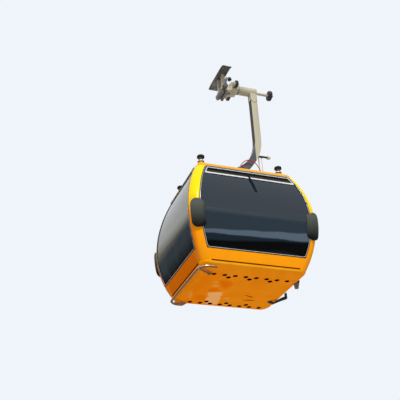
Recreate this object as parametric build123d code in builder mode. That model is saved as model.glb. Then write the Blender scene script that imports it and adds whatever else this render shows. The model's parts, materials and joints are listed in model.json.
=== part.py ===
from build123d import *
import os
from math import pi, radians, sqrt, tan

# Gondola lift cabin with its hanger and its rope grip, in millimetres.
# +X runs along the rope, towards the bare-window end that leads.
# +Y is the outer side, where the doors are and where the hanger passes the rope.
# +Z is up. The origin is on the rope's axis, in the middle of the grip's jaws.

os.makedirs("parts", exist_ok=True)

# Rope and height of the cabin under it
rope_r = 23
sill_z = -3450

# Cabin form: two barrel outlines crossed, heights measured from the window sill
half_length = 947
length_bow_r = 1900
length_bow_h = 600
half_width = 1030
width_bow_r = 1800
width_bow_h = 620
crease_h = -168
roof_h = 1530
corner_r = 140
roof_edge_r = 90
wall = 36

# Windows
post_inset = 125
end_sill_h = -20
side_sill_h = 6
roof_band = 90
window_top_h = roof_h - roof_band
window_top_r = 70
window_low_r = 24
vent_low_h = window_top_h - 180
vent_inset = 44
vent_gap = 1.5
vent_lap = 6
vent_bar = 6
vent_low_bar = 20
vent_bar_proud = 7
vent_corner_r = 8
seal_w = 20
seal_proud = 4
seal_depth = 22
glass_set = 5
glass_t = 8
side_inset = 146
side_top_h = window_top_h
side_top_r = 60

# Where the corner posts end and the low panels begin
foot_x = half_length - 347
foot_y = half_width - 330

# Floor pan: (height, tuck inside the crease outline, corner radius)
pan_rows = (
    (crease_h, 0, 140),
    (crease_h - 24, 3, 142),
    (crease_h - 46, 20, 138),
    (crease_h - 66, 50, 124),
    (crease_h - 84, 84, 104),
    (crease_h - 100, 122, 84),
    (crease_h - 112, 168, 60),
    (crease_h - 120, 216, 40),
)
pan_t = 12
pan_core = 70
groove_h = 18
groove_deep = 16
groove_end_y = half_width - 320
groove_end_x = half_length - 327
deck_t = 24
drain_r = 31
drain_count = 8
drain_pitch = 168
drain_row_x = half_length - 402
drain_stagger_x = 70
drain_stagger_y = drain_pitch / 2
drain_extra_y = 68

# Doors
door_gap = 0.3
door_low_h = -110
door_frame_w = 55
door_glass_low_h = 60
door_edge_w = 24
gutter_h = window_top_h + 22
gutter_w = 34
gutter_proud = 14

# Corner bumpers
bumper_t = 48
bumper_low_h = 264
bumper_high_h = 715
bumper_w = 186
bumper_shift = 53
bumper_round = 88
bumper_edge_r = 26
seat_gap = 0.3

# Bent tube rail, outside the crease line
rail_r = 17
rail_x = half_length - 202
rail_y = half_width - 164
rail_h = crease_h - 99
rail_bend_r = 150
rail_end_r = 45
rail_turn = 212
rail_end_in = (55, 266, 24)
leg_r = 16
leg_places = ((85, 0, 0), (140, 116, -28), (166, 226, -27))

# Door guide arm and stay: outlines as (distance in from half_width, height)
arm_x = -255
arm_t = 40
arm_outline = (
    (402, -268),
    (355, -268),
    (325, -306),
    (190, -222),
    (92, -176),
    (92, -126),
    (84, -116),
    (65, -116),
    (65, -216),
    (180, -262),
    (322, -330),
    (402, -306),
)
stay_x = 400
stay_t = 34
stay_outline = ((260, -205), (158, -188), (194, -328), (240, -328))

# Benches
bench_half = half_width - 270
bench_h = 290
bench_front_x = half_length - 507
bench_back_h = 640
bench_t = 32
bench_seat = 370
bench_rake = 30
bench_leg_y = bench_half - 200

# Roof gear
mount_x = 330
mount_y = 300
mount_r = 45
mount_h = 60
beam_w = 80
beam_h = 70
beam_over = 70
pedestal_x = 110
flange_t = 30
buffer_x = half_length - 447
buffer_y = half_width - 358
# Rings of a buffer: (low, high, low radius, high radius), heights above the roof
buffer_base = ((-30, 104, 82, 50),)
buffer_rim = ((124, 136, 55, 55),)
buffer_rubber = ((104, 124, 53, 51), (136, 206, 38, 38), (206, 232, 61, 58))

# Hanger
arm_y = 590
arm_w = 118
arm_d = 110
bend_r = 800
bend_start_z = -850
split_y = 520
foot_end_y = -110
foot_sole = 22
head_low_z = -10
tongue_low_z = -58
tongue_t = 6
tongue_r = 40
swing_z = 180
sleeve_r = 80
sleeve_in_y = 290
sleeve_out_y = 650
sleeve_cap = 22
pin_r = 45
running_gap = 0.05
side_play = 6

# Guide roller on the hanger
rod_r = 24
rod_end_y = 892
guide_r = 92
guide_w = 62
guide_round = 16
axle_r = 15
nut_t = 12

# Door lever on the roof
lever_x = -75
lever_rod_r = 9
lever_rod_y = (half_width - 403, half_width - 348)
lever_head_z = -1119
lever_head_y = (half_width - 417, half_width - 244)
lever_head_r = 17
door_axle_r = 8
door_nut_r = 14
door_roller_r = 33
door_roller_w = 44

# Red cable: (x, y, height above the roof)
cable_r = 8
gland_r = 18
gland_h = 42
cable_points = (
    (100, 130, gland_h),
    (100, 130, 210),
    (102, 160, 365),
    (104, 225, 500),
    (104, 325, 574),
    (103, 435, 564),
    (101, 520, 475),
    (100, 566, 345),
    (100, 593, 200),
    (100, 593, gland_h),
)

# Grip
jaw_half = 130
jaw_out = 62
jaw_part = 3
jaw_low_z = -16
jaw_top_z = 50
cheek_low_z = 40
cheek_in_x = 45
cheek_out_x = 125
cheek_top_z = 132
jaw_pin_z = 95
jaw_pin_r = 18
hub_r = 34
hub_play = 5
block_y = 150
wheel_x = 200
wheel_y = 200
wheel_z = 150
wheel_r = 65
wheel_w = 44
wheel_axle_r = 12
wheel_nut_r = 20
wheel_nut_t = 8
lever_end_y = 110
lever_end_z = 400
lever_w = 60
lever_t = 44
lever_roller_r = 40
lever_roller_w = 36
lever_roller_y = 148
plate_z = 400
plate_half = 360
plate_ramp = 90
plate_drop = 25
plate_w = 170
plate_y = -15
plate_t = 12
drum_r = 40
drum_w = 80


def z_of(height):
    """Height above the window sill, as a height in the rope's frame."""
    return sill_z + height


def bow(half, radius, widest_h):
    """A barrel outline: half size, radius of its bowed sides, height where it is widest."""
    return half, radius, widest_h


def reach(form, height, grow=0):
    """Half size of a barrel outline at a height above the sill."""
    half, radius, widest_h = form
    return half - radius + sqrt((radius + grow) ** 2 - (height - widest_h) ** 2)


def outline(form, low, high, grow=0):
    """One barrel outline: two bowed sides between a flat foot and a flat head."""
    low_x = reach(form, low, grow)
    high_x = reach(form, high, grow)
    wide_x = form[0] + grow
    wide_z = z_of(form[2])
    with BuildSketch(mode=Mode.PRIVATE) as face:
        with BuildLine():
            ThreePointArc((low_x, z_of(low)), (wide_x, wide_z), (high_x, z_of(high)))
            Line((high_x, z_of(high)), (-high_x, z_of(high)))
            ThreePointArc((-high_x, z_of(high)), (-wide_x, wide_z), (-low_x, z_of(low)))
            Line((-low_x, z_of(low)), (low_x, z_of(low)))
        make_face()
    return face.sketch


def barrel(grow=0):
    """The cabin's form above the crease, grown outwards by grow."""
    high = roof_h + grow
    with BuildPart() as form:
        extrude(Plane.YZ * outline(width_form, crease_h, high, grow), 2 * half_length, both=True)
        across = Plane.XZ * outline(length_form, crease_h, high, grow)
        extrude(across, 2 * half_width, both=True, mode=Mode.INTERSECT)
        upright = form.edges().filter_by(lambda e: e.bounding_box().size.Z > (roof_h - crease_h) / 2)
        fillet(upright, corner_r + grow)
        fillet(form.faces().sort_by(Axis.Z)[-1].edges(), roof_edge_r + grow)
    return form.part


def opening(form, low, high, top_r, shrink=0):
    """A window's outline: bowed sides, straight sill and head, rounded corners."""
    with BuildSketch(mode=Mode.PRIVATE) as face:
        add(outline(form, low, high))
        rows = face.vertices().group_by(Axis.Y)
        fillet(rows[-1], top_r)
        fillet(rows[0], window_low_r)
        if shrink:
            offset(amount=-shrink)
    return face.sketch


def block(x_range, y_range, z_range):
    """A box between two corners."""
    sizes = [r[1] - r[0] for r in (x_range, y_range, z_range)]
    centre = [(r[0] + r[1]) / 2 for r in (x_range, y_range, z_range)]
    return Pos(*centre) * Box(*sizes, mode=Mode.PRIVATE)


def span(sign, near, out):
    """A range from near to out, on the positive or the negative side."""
    return sorted((sign * near, sign * out))


def rod(start, end, radius):
    """A round bar between two points."""
    run = Vector(*end) - Vector(*start)
    align = (Align.CENTER, Align.CENTER, Align.MIN)
    return Plane(origin=start, z_dir=run) * Cylinder(radius, run.length, align=align, mode=Mode.PRIVATE)


def write(name, shape):
    """Label a finished piece and save it."""
    shape.label = name
    export_step(shape, f"parts/{name}.step")


far = 3000
length_form = bow(half_length, length_bow_r, length_bow_h)
width_form = bow(half_width, width_bow_r, width_bow_h)
ends = (("front", 1), ("rear", -1))
corners = [(x, y) for x in (1, -1) for y in (1, -1)]
outer = barrel()
shell = outer - barrel(-wall)
glass_shell = barrel(-glass_set) - barrel(-glass_set - glass_t)
seal_shell = barrel(seal_proud) - barrel(-seal_depth)
bar_shell = barrel(vent_bar_proud) - barrel(-glass_set)
gutter_shell = barrel(gutter_proud) - outer
clear = barrel(seat_gap)

# Window and door outlines, run out through the walls
end_form = bow(half_width - post_inset, width_bow_r, width_bow_h)
side_form = bow(half_length - side_inset, length_bow_r, length_bow_h)


def keep(shape, x_range=(-far, far), y_range=(-far, far), low=None, high=None):
    """The part of a shape inside a range of x, of y and of height."""
    z_range = (-2 * far if low is None else z_of(low), far if high is None else z_of(high))
    return shape & block(x_range, y_range, z_range)


def end_prism(shrink=0):
    """Both end windows' openings, from the middle of the cabin outwards."""
    face = Plane.YZ * opening(end_form, end_sill_h, window_top_h, window_top_r, shrink)
    return extrude(face, far, both=True, mode=Mode.PRIVATE)


def side_prism(sign, low, shrink=0):
    """A side opening: the window on the left, the doorway on the right."""
    face = Plane.XZ * opening(side_form, low, side_top_h, side_top_r, shrink)
    prism = extrude(face, far, both=True, mode=Mode.PRIVATE)
    return keep(prism, y_range=span(sign, foot_y, far))


frame = shell - end_prism() - side_prism(-1, side_sill_h) - side_prism(1, door_low_h)

# Roof, corner posts and the low panels, cut from one shell where the real ones meet
with BuildPart() as roof_shell:
    add(keep(frame, low=window_top_h))
write("roof_shell", roof_shell.part)

between_posts = [
    block((-foot_x, foot_x), (-far, far), (-2 * far, z_of(side_sill_h))),
    block((-far, far), (-foot_y, foot_y), (-2 * far, z_of(end_sill_h))),
]
with BuildPart() as corner_posts:
    for x_sign, y_sign in corners:
        quarter = keep(frame, span(x_sign, 0, far), span(y_sign, 0, far), high=window_top_h)
        add(quarter - between_posts)
write("corner_posts", corner_posts.part)
with BuildPart() as end_panels:
    for end, x_sign in ends:
        add(keep(frame, span(x_sign, foot_x, far), (-foot_y, foot_y), high=end_sill_h))
write("end_panels", end_panels.part)

for side, y_sign, high in (("left", -1, side_sill_h), ("right", 1, door_low_h)):
    with BuildPart() as side_panel:
        add(keep(frame, (-foot_x, foot_x), span(y_sign, foot_y, far), high=high))
    write(f"side_panel_{side}", side_panel.part)

# Floor pan: lofted rounded rectangles, with a core left round its edge
crease_x = reach(length_form, crease_h)
crease_y = reach(width_form, crease_h)


def pan_form(grow=0, rows=pan_rows):
    """The pan's outer form through its rows."""
    with BuildPart() as form:
        for height, tuck, radius in rows:
            with BuildSketch(Plane.XY.offset(z_of(height))):
                RectangleRounded(
                    2 * (crease_x - tuck + grow), 2 * (crease_y - tuck + grow), radius + grow
                )
        loft()
    return form.part


pan_outer = pan_form()
pan_clear = Pos(0, 0, -seat_gap) * pan_form(seat_gap)
with BuildPart() as floor_pan:
    add(pan_outer)
    low_row = pan_rows[-1]
    for height, tuck in ((pan_rows[0][0] - pan_t, pan_core), (low_row[0] + pan_t, low_row[1])):
        with BuildSketch(Plane.XY.offset(z_of(height))):
            RectangleRounded(
                2 * (crease_x - tuck - pan_t), 2 * (crease_y - tuck - pan_t), low_row[2] - pan_t
            )
    loft(mode=Mode.SUBTRACT)
    groove_z = z_of(crease_h - groove_h / 2)
    for x_sign in (1, -1):
        with Locations((x_sign * crease_x, 0, groove_z)):
            Box(2 * groove_deep, 2 * groove_end_y, groove_h, mode=Mode.SUBTRACT)
        rows = [
            (x_sign * drain_row_x, drain_pitch * (i - (drain_count - 1) / 2)) for i in range(drain_count)
        ]
        inner_x = x_sign * (drain_row_x - drain_stagger_x)
        rows += [(inner_x, y + drain_stagger_y) for x, y in rows[1:-1:2]]
        if x_sign > 0:
            rows.append((rows[0][0], rows[0][1] - drain_extra_y))
        with Locations(*[(x, y, z_of(low_row[0])) for x, y in rows]):
            Cylinder(drain_r, 4 * pan_t, mode=Mode.SUBTRACT)
    for y_sign in (1, -1):
        with Locations((0, y_sign * crease_y, groove_z)):
            Box(2 * groove_end_x, 2 * groove_deep, groove_h, mode=Mode.SUBTRACT)
write("floor_pan", floor_pan.part)

with BuildPart() as deck:
    add(keep(barrel(-wall), low=crease_h, high=crease_h + deck_t))
write("deck", deck.part)

# End windows, each with its seal and its tilting vent
def vent_prism(shrink=0, low_bar=0):
    """The vent's outline, run out through both ends."""
    with BuildSketch(mode=Mode.PRIVATE) as face:
        add(outline(end_form, end_sill_h, window_top_h))
        offset(amount=-vent_inset - shrink, kind=Kind.INTERSECTION)
        with Locations((0, z_of(vent_low_h + low_bar) - far / 2)):
            Rectangle(far, far, mode=Mode.SUBTRACT)
        fillet(face.vertices(), vent_corner_r)
    return extrude(Plane.YZ * face.sketch, far, both=True, mode=Mode.PRIVATE)


end_glass = glass_shell & end_prism(seal_w)
end_seal = (seal_shell & end_prism()) - end_prism(seal_w)
vent_ring = vent_prism(-vent_lap, -vent_lap) - vent_prism(vent_bar, vent_low_bar)
for name, shape in (
    ("end_windows", end_glass - vent_prism(-vent_gap, -vent_gap)),
    ("vent_flaps", end_glass & vent_prism()),
    ("vent_frames", bar_shell & vent_ring),
    ("end_seals", end_seal),
):
    with BuildPart() as pair:
        for end, x_sign in ends:
            add(keep(shape, span(x_sign, foot_x, far)))
    write(name, pair.part)

# Side window
with BuildPart() as side_window:
    add(glass_shell & side_prism(-1, side_sill_h, seal_w))
write("side_window", side_window.part)
with BuildPart() as side_seal:
    add((seal_shell & side_prism(-1, side_sill_h)) - side_prism(-1, side_sill_h, seal_w))
write("side_seal", side_seal.part)

# Gutters along the roof's sides
with BuildPart() as gutters:
    for y_sign in (-1, 1):
        along = span(y_sign, foot_y, far)
        add(keep(gutter_shell, (-foot_x, foot_x), along, gutter_h, gutter_h + gutter_w))
write("gutters", gutters.part)

# Doors: two leaves that meet in the middle of the right side
leaf_prism = side_prism(1, door_low_h, door_gap)
light_prism = side_prism(1, door_glass_low_h, door_frame_w)
door_lights = []
for end, x_sign in ends:
    leaf_x = span(x_sign, door_edge_w / 2, far)
    light = keep(light_prism, span(x_sign, door_edge_w / 2 + door_frame_w, far))
    door_lights.append(glass_shell & light)
    with BuildPart() as door_leaf:
        add(keep(shell & leaf_prism, leaf_x) - light)
    write(f"door_leaf_{end}", door_leaf.part)
with BuildPart() as door_glass:
    add(door_lights)
write("door_glass", door_glass.part)
with BuildPart() as door_edge:
    add(keep((barrel(seal_proud) - barrel(-wall)) & leaf_prism, (-door_edge_w / 2, door_edge_w / 2)))
write("door_edge_seal", door_edge.part)

# Rubber buffers on the corner posts
seal_clear = keep(barrel(seal_proud + seat_gap)) & end_prism(-seat_gap)
bumper_shell = barrel(bumper_t) - clear - seal_clear
bumper_mid_h = (bumper_low_h + bumper_high_h) / 2
with BuildPart() as bumpers:
    for x_sign, y_sign in corners:
        corner = Vector(x_sign * half_length, y_sign * half_width, z_of(bumper_mid_h))
        corner += Vector(x_sign, -y_sign, 0).normalized() * bumper_shift
        facing = Plane(origin=corner, x_dir=(-y_sign, x_sign, 0), z_dir=(x_sign, y_sign, 0))
        with BuildSketch(facing, mode=Mode.PRIVATE) as pad_face:
            RectangleRounded(bumper_w, bumper_high_h - bumper_low_h, bumper_round)
        pad = bumper_shell & extrude(pad_face.sketch, 300, both=True, mode=Mode.PRIVATE)
        brim = pad.edges().filter_by(lambda e: outer.distance_to(Vertex(*(e @ 0.5))) > bumper_t - 1)
        add(pad.solid().fillet(bumper_edge_r, brim))
write("bumpers", bumpers.part)

# Bent tube rail along the left side, with a short leg under the pan at each end
rail_half = [
    (rail_x - rail_end_in[0], rail_end_in[1] - rail_y, rail_h + rail_end_in[2]),
    (rail_x, rail_turn - rail_y, rail_h),
    (rail_x, -rail_y, rail_h),
]
rail_points = rail_half + [(-x, y, h) for x, y, h in reversed(rail_half)]
with BuildPart() as side_rail:
    with BuildLine() as rail_line:
        FilletPolyline(
            *[(x, y, z_of(h)) for x, y, h in rail_points],
            radius=[rail_end_r, rail_bend_r, rail_bend_r, rail_end_r],
        )
    with BuildSketch(rail_line.line ^ 0):
        Circle(rail_r)
    sweep()
    for x_sign in (1, -1):
        leg = [(x_sign * (rail_x - x), y - rail_y, z_of(rail_h + z)) for x, y, z in leg_places]
        for start, end in zip(leg, leg[1:]):
            add(rod(start, end, leg_r))
        with Locations(leg[1]):
            Sphere(leg_r)
    add(pan_clear, mode=Mode.SUBTRACT)
write("side_rail", side_rail.part)

# Door guide arm and stay under the doorway
for name, points, x_mid, width in (
    ("door_guide_arm", arm_outline, arm_x, arm_t),
    ("door_stay", stay_outline, stay_x, stay_t),
):
    with BuildPart() as bracket:
        with BuildSketch(Plane.YZ.offset(x_mid)):
            Polygon(*[(half_width - y, z_of(h)) for y, h in points], align=None)
        extrude(amount=width / 2, both=True)
        add(pan_clear, mode=Mode.SUBTRACT)
        add(clear, mode=Mode.SUBTRACT)
    write(name, bracket.part)

# Benches along both ends
seat_back_x = bench_front_x + bench_seat
seat_back_h = bench_h - 20
bench_side = (
    (bench_front_x, bench_h - 60),
    (bench_front_x, bench_h),
    (seat_back_x, seat_back_h),
    (seat_back_x + bench_rake, bench_back_h),
    (seat_back_x + bench_rake + bench_t, bench_back_h),
    (seat_back_x + bench_t, seat_back_h - bench_t),
    (bench_front_x + bench_t, bench_h - bench_t),
    (bench_front_x + bench_t, bench_h - 60),
)
for end, x_sign in ends:
    with BuildPart() as bench:
        with BuildSketch(Plane.XZ):
            Polygon(*[(x_sign * x, z_of(h)) for x, h in bench_side], align=None)
        extrude(amount=bench_half, both=True)
        for y in (-bench_leg_y, 0, bench_leg_y):
            leg_x = span(x_sign, bench_front_x + 120, bench_front_x + 300)
            leg_z = (z_of(crease_h + deck_t), z_of(seat_back_h))
            add(block(leg_x, (y - bench_t / 2, y + bench_t / 2), leg_z))
    write(f"bench_{end}", bench.part)

# Roof gear: rubber mounts, the carrying frame and the corner buffers
frame_low_h = roof_h + mount_h
with BuildPart() as roof_mounts:
    with Locations(*[(x * mount_x, y * mount_y, z_of(roof_h)) for x, y in corners]):
        Cylinder(mount_r, mount_h, align=(Align.CENTER, Align.CENTER, Align.MIN))
write("roof_mounts", roof_mounts.part)

bend_low_z = bend_start_z - (bend_r + arm_w / 2)
flange_top_z = bend_low_z + foot_sole
flange_low_z = flange_top_z - flange_t
with BuildPart() as roof_frame:
    low_z = z_of(frame_low_h)
    with Locations(*[(0, s * mount_y, low_z + beam_h / 2) for s in (1, -1)]):
        Box(2 * (mount_x + beam_over), beam_w, beam_h)
    with Locations(*[(s * mount_x, 0, low_z + beam_h / 2) for s in (1, -1)]):
        Box(beam_w, 2 * mount_y, beam_h)
    with Locations((0, 0, low_z + beam_h / 2)):
        Box(1.5 * beam_w, 2 * mount_y, beam_h)
    add(block((-pedestal_x, pedestal_x), (foot_end_y - 20, -foot_end_y), (low_z, flange_low_z)))
write("roof_frame", roof_frame.part)

for name, rings in (
    ("buffer_bases", buffer_base),
    ("buffer_rims", buffer_rim),
    ("buffer_rubbers", buffer_rubber),
):
    with BuildPart() as buffers:
        for x_sign, y_sign in corners:
            for low, high, low_r, high_r in rings:
                with BuildSketch(Plane.XZ.offset(-y_sign * buffer_y)):
                    with Locations((x_sign * buffer_x, z_of(roof_h))):
                        Polygon((0, low), (low_r, low), (high_r, high), (0, high), align=None)
                centre = (x_sign * buffer_x, y_sign * buffer_y, 0)
                revolve(axis=Axis(centre, (0, 0, 1)))
        if name == "buffer_bases":
            add(clear, mode=Mode.SUBTRACT)
    write(name, buffers.part)

# Hanger: a box arm that bends under to the roof's middle
bend_y = arm_y - bend_r
half_w = arm_w / 2
with BuildSketch() as hook_face:
    with BuildLine():
        for radius in (bend_r + half_w, bend_r - half_w):
            drop = sqrt(radius**2 - (foot_end_y - bend_y) ** 2)
            half_way = (radius + foot_end_y - bend_y) / 2 * 1.06
            mid = Vector(half_way, -sqrt(radius**2 - half_way**2))
            ThreePointArc(
                (bend_y + radius, bend_start_z),
                (bend_y + mid.X, bend_start_z + mid.Y),
                (foot_end_y, bend_start_z - drop),
            )
        drops = [sqrt((bend_r + s * half_w) ** 2 - (foot_end_y - bend_y) ** 2) for s in (1, -1)]
        Line((foot_end_y, bend_start_z - drops[0]), (foot_end_y, bend_start_z - drops[1]))
        Polyline(
            (arm_y + half_w, bend_start_z),
            (arm_y + half_w, head_low_z),
            (arm_y - half_w, head_low_z),
            (arm_y - half_w, bend_start_z),
        )
    make_face()
hook = extrude(Plane.YZ * hook_face.sketch, arm_d / 2, both=True)
with BuildPart() as hanger_arm:
    add(keep(hook, y_range=(split_y, far)))
write("hanger_arm", hanger_arm.part)
with BuildPart() as hanger_foot:
    add(keep(hook, y_range=(-far, split_y)))
    add(block((-pedestal_x, pedestal_x), (foot_end_y - 20, -foot_end_y), (flange_low_z, flange_top_z)))
    add(block((-far, far), (-far, far), (-2 * far, flange_low_z)), mode=Mode.SUBTRACT)
write("hanger_foot", hanger_foot.part)

with BuildPart() as hanger_head:
    add(rod((0, sleeve_in_y, swing_z), (0, sleeve_out_y, swing_z), sleeve_r))
    add(
        block(
            (-arm_d / 2 - tongue_t, arm_d / 2 + tongue_t),
            (arm_y - half_w - 4, sleeve_out_y),
            (head_low_z, swing_z),
        )
    )
    for x_sign in (1, -1):
        with BuildSketch(Plane.YZ.offset(x_sign * arm_d / 2)):
            with Locations((arm_y, (head_low_z + tongue_low_z) / 2)):
                Rectangle(arm_w - 20, head_low_z - tongue_low_z)
            fillet(vertices().group_by(Axis.Y)[0], tongue_r)
        extrude(amount=x_sign * tongue_t)
    add(rod((0, 0, swing_z), (0, sleeve_out_y - sleeve_cap, swing_z), pin_r + running_gap), mode=Mode.SUBTRACT)
write("hanger_head", hanger_head.part)

# Guide roller on its rod
roller_y = rod_end_y + side_play
with BuildPart() as guide_rod:
    add(rod((0, sleeve_out_y, swing_z), (0, rod_end_y, swing_z), rod_r))
    add(rod((0, rod_end_y, swing_z), (0, roller_y + guide_w + side_play, swing_z), axle_r))
    add(rod((0, roller_y + guide_w + side_play, swing_z), (0, roller_y + guide_w + side_play + nut_t, swing_z), rod_r))
write("guide_rod", guide_rod.part)
with BuildPart() as guide_roller:
    with BuildSketch(Plane.XZ.offset(-roller_y)):
        with Locations((0, swing_z)):
            Circle(guide_r)
            Circle(axle_r + running_gap, mode=Mode.SUBTRACT)
    extrude(amount=-guide_w)
    rims = guide_roller.edges().filter_by(GeomType.CIRCLE).filter_by(lambda e: e.radius > guide_r - 1)
    fillet(rims, guide_round)
write("guide_roller", guide_roller.part)

# Door lever: two rods, a cross head and its roller
roof_z = z_of(roof_h)
head_start_y, head_end_y = lever_head_y
with BuildPart() as door_lever:
    for y in lever_rod_y:
        add(rod((lever_x, y, roof_z), (lever_x, y, lever_head_z - lever_head_r), lever_rod_r))
write("door_lever", door_lever.part)
with BuildPart() as door_lever_head:
    roller_end_y = head_end_y + door_roller_w + 2 * side_play
    for start_y, end_y, radius in (
        (head_start_y, head_end_y, lever_head_r),
        (head_end_y, roller_end_y, door_axle_r),
        (roller_end_y, roller_end_y + wheel_nut_t, door_nut_r),
    ):
        add(rod((lever_x, start_y, lever_head_z), (lever_x, end_y, lever_head_z), radius))
    for y in lever_rod_y:
        add(rod((lever_x, y, lever_head_z - lever_head_r), (lever_x, y, lever_head_z), lever_rod_r))
write("door_lever_head", door_lever_head.part)
with BuildPart() as door_roller:
    start_y = head_end_y + side_play
    add(rod((lever_x, start_y, lever_head_z), (lever_x, start_y + door_roller_w, lever_head_z), door_roller_r))
    bore_r = door_axle_r + running_gap
    add(rod((lever_x, 0, lever_head_z), (lever_x, far, lever_head_z), bore_r), mode=Mode.SUBTRACT)
write("door_roller", door_roller.part)

# Red cable, bowed over from the hanger's foot to the door lever
knots = [Vector(x, y, z_of(roof_h + h)) for x, y, h in cable_points]
radii = []
for before, knot, after in zip(knots, knots[1:], knots[2:]):
    turn = (knot - before).get_angle(after - knot)
    shorter = min((knot - before).length, (after - knot).length)
    radii.append(0.45 * shorter / tan(radians(turn) / 2))
print("cable radii", [round(r) for r in radii])
with BuildPart() as red_cable:
    with BuildLine() as cable_line:
        FilletPolyline(*knots, radius=radii)
    with BuildSketch(cable_line.line ^ 0):
        Circle(cable_r)
    sweep()
cable_length = sum(edge.length for edge in cable_line.edges())
share = red_cable.part.volume / (cable_length * pi * cable_r**2)
print("cable length", round(cable_length), "volume over section times length", round(share, 4))
write("red_cable", red_cable.part)
with BuildPart() as cable_glands:
    for x, y, h in (cable_points[0], cable_points[-1]):
        add(rod((x, y, z_of(roof_h)), (x, y, z_of(roof_h + h)), gland_r))
write("cable_glands", cable_glands.part)

# Grip: two cheeks and the hanger's bearing block
with BuildPart() as grip_body:
    cheek = (
        (2, cheek_low_z),
        (70, cheek_low_z),
        (200, 105),
        (sleeve_in_y - side_play, 110),
        (sleeve_in_y - side_play, 250),
        (block_y, 250),
        (70, cheek_top_z),
        (-42, cheek_top_z),
        (-42, 66),
        (2, 60),
    )
    for x in (cheek_in_x, -cheek_out_x):
        with BuildSketch(Plane.YZ.offset(x)):
            Polygon(*cheek, align=None)
        extrude(amount=cheek_out_x - cheek_in_x)
    add(rod((0, block_y, swing_z), (0, sleeve_in_y - side_play, swing_z), sleeve_r))
    add(rod((-far, 0, jaw_pin_z), (far, 0, jaw_pin_z), jaw_pin_r), mode=Mode.SUBTRACT)
write("grip_body", grip_body.part)

with BuildPart() as hanger_pin:
    add(rod((0, sleeve_in_y - side_play, swing_z), (0, sleeve_out_y - sleeve_cap - side_play, swing_z), pin_r))
write("hanger_pin", hanger_pin.part)

with BuildPart() as jaw_pin:
    add(rod((-cheek_out_x, 0, jaw_pin_z), (cheek_out_x, 0, jaw_pin_z), jaw_pin_r))
write("jaw_pin", jaw_pin.part)

jaw_x = (-jaw_half, jaw_half)
with BuildPart() as fixed_jaw:
    add(block(jaw_x, (jaw_part, jaw_out), (jaw_low_z, cheek_low_z)))
    add(rod((-far, 0, 0), (far, 0, 0), rope_r), mode=Mode.SUBTRACT)
write("fixed_jaw", fixed_jaw.part)

hub_x = cheek_in_x - hub_play
lever_run = Vector(0, lever_end_y, lever_end_z - jaw_pin_z)
with BuildPart() as moving_jaw:
    add(block(jaw_x, (-jaw_out, -jaw_part), (jaw_low_z, jaw_top_z)))
    add(block((-hub_x, hub_x), (-hub_r, -jaw_part), (jaw_low_z, jaw_pin_z)))
    add(rod((-hub_x, 0, jaw_pin_z), (hub_x, 0, jaw_pin_z), hub_r))
    with BuildSketch(Plane(origin=(0, 0, jaw_pin_z), x_dir=(1, 0, 0), z_dir=lever_run)):
        Rectangle(lever_w, lever_t)
    extrude(amount=lever_run.length + 12)
    axle_end_y = lever_roller_y + lever_roller_w + side_play
    add(rod((0, lever_end_y, lever_end_z), (0, axle_end_y, lever_end_z), wheel_axle_r))
    add(rod((0, axle_end_y, lever_end_z), (0, axle_end_y + wheel_nut_t, lever_end_z), wheel_nut_r))
    add(rod((-far, 0, 0), (far, 0, 0), rope_r), mode=Mode.SUBTRACT)
    add(rod((-far, 0, jaw_pin_z), (far, 0, jaw_pin_z), jaw_pin_r + running_gap), mode=Mode.SUBTRACT)
write("moving_jaw", moving_jaw.part)


def roller(x, y, z, radius, width):
    """A plain wheel on a crosswise axle."""
    with BuildPart() as wheel:
        add(rod((x, y, z), (x, y + width, z), radius))
        rims = wheel.edges().filter_by(GeomType.CIRCLE)
        fillet(rims, 5)
        add(rod((x, y - 1, z), (x, y + width + 1, z), wheel_axle_r + running_gap), mode=Mode.SUBTRACT)
    return wheel.part


write("lever_roller", roller(0, lever_roller_y, lever_end_z, lever_roller_r, lever_roller_w))

wheel_start_y = wheel_y - wheel_w / 2
with BuildPart() as wheel_carriers:
    for end, x_sign in ends:
        add(block(span(x_sign, cheek_out_x, wheel_x + 22), (block_y, wheel_start_y - side_play), (120, 180)))
        end_y = wheel_start_y + wheel_w + side_play
        add(rod((x_sign * wheel_x, block_y, wheel_z), (x_sign * wheel_x, end_y, wheel_z), wheel_axle_r))
        add(rod((x_sign * wheel_x, end_y, wheel_z), (x_sign * wheel_x, end_y + wheel_nut_t, wheel_z), wheel_nut_r))
write("wheel_carriers", wheel_carriers.part)
for end, x_sign in ends:
    write(f"running_wheel_{end}", roller(x_sign * wheel_x, wheel_start_y, wheel_z, wheel_r, wheel_w))

with BuildPart() as spring_drums:
    for x_sign in (1, -1):
        start, stop = x_sign * cheek_out_x, x_sign * (cheek_out_x + drum_w)
        add(rod((start, 0, jaw_pin_z), (stop, 0, jaw_pin_z), drum_r))
write("spring_drums", spring_drums.part)

with BuildPart() as plate_posts:
    for x_sign in (1, -1):
        add(block(span(x_sign, 65, 105), (-30, 30), (cheek_top_z, plate_z)))
write("plate_posts", plate_posts.part)
with BuildPart() as friction_plate:
    with BuildSketch(Plane.XZ.offset(-plate_y)):
        edge = (
            (-plate_half, plate_z - plate_drop),
            (plate_ramp - plate_half, plate_z),
            (plate_half - plate_ramp, plate_z),
            (plate_half, plate_z - plate_drop),
        )
        Polygon(*edge, *[(x, z + plate_t) for x, z in reversed(edge)], align=None)
    extrude(amount=plate_w / 2, both=True)
write("friction_plate", friction_plate.part)
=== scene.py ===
# %% [markdown]
# # A gondola lift cabin on its hanger
# This lesson dresses a finished CAD model: a glazed cabin for eight people that hangs from its
# grip. The CAD gives every shape that carries, turns or fastens. Blender adds the finish: paint,
# glass and rubber, and the small trim that is too fine for CAD.

# %% Load the imported model
import bmesh
import bpy
import json
from math import cos, pi, radians, sin, sqrt
from mathutils import Matrix, Vector


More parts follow.
